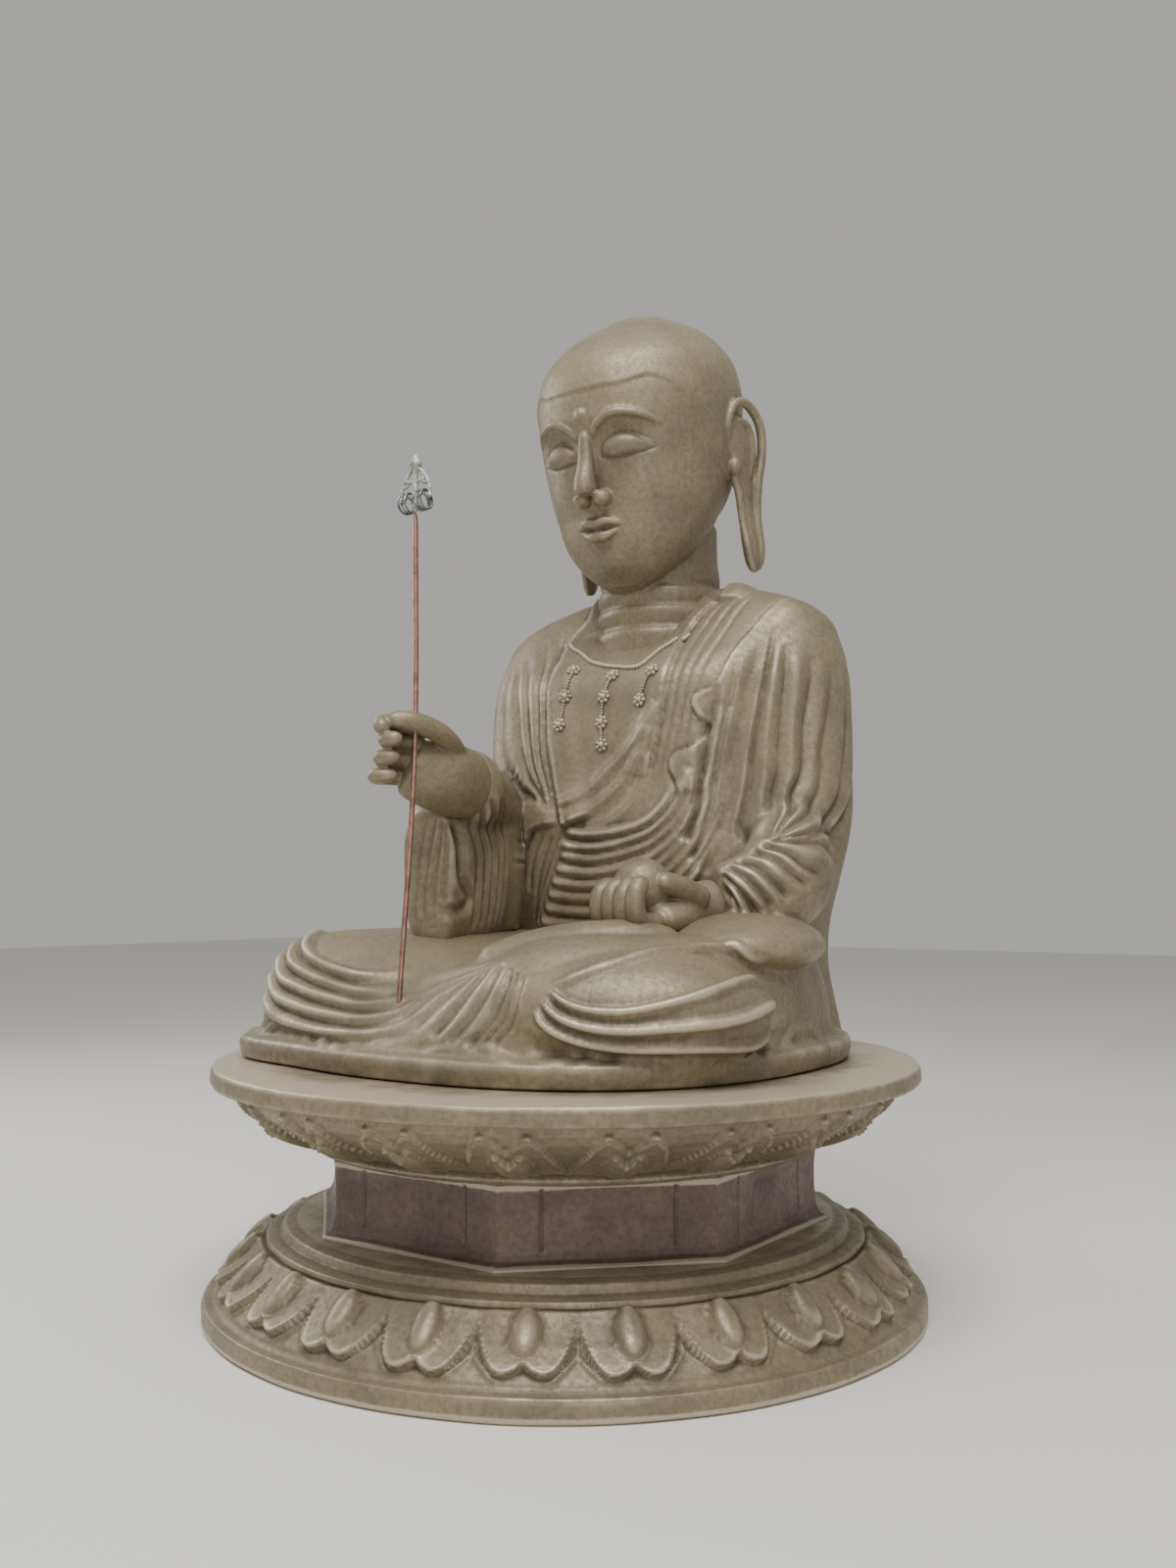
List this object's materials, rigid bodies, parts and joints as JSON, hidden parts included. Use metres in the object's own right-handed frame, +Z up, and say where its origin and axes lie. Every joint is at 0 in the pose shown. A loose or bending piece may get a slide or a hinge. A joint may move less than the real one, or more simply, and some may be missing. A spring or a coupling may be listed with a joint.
{
  "type": "seated ksitigarbha figure on a lotus plinth",
  "caption": "Seated monk-like Ksitigarbha figure in lustrous stoneware, holding a thin ringed staff and a jewel, on a three-tier round lotus plinth.",
  "frame": {"origin": "middle of the plinth's underside", "axes": "+Z up, the figure faces -Y and its left hand is on the +X side"},
  "size_m": [0.54, 0.54, 0.8022],
  "materials": {
    "figure_stoneware": "satin, lustrous olive-brown glaze, worn pale on the ridges",
    "plinth_stoneware": "satin, lustrous grey-brown glaze with reddish stains",
    "copper_rod": "dull, slightly oxidised",
    "pale_bronze": "pale green-white weathered patina",
    "ring_steel": "polished with dark tarnish"
  },
  "bodies": {
    "root": {"plinth": "plinth_stoneware", "figure": "figure_stoneware", "staff_rod": "copper_rod", "staff_finial": "pale_bronze", "ring_right_1": "ring_steel", "ring_right_2": "ring_steel", "ring_right_3": "ring_steel", "ring_left_1": "ring_steel", "ring_left_2": "ring_steel", "ring_left_3": "ring_steel"}
  },
  "joints": []
}
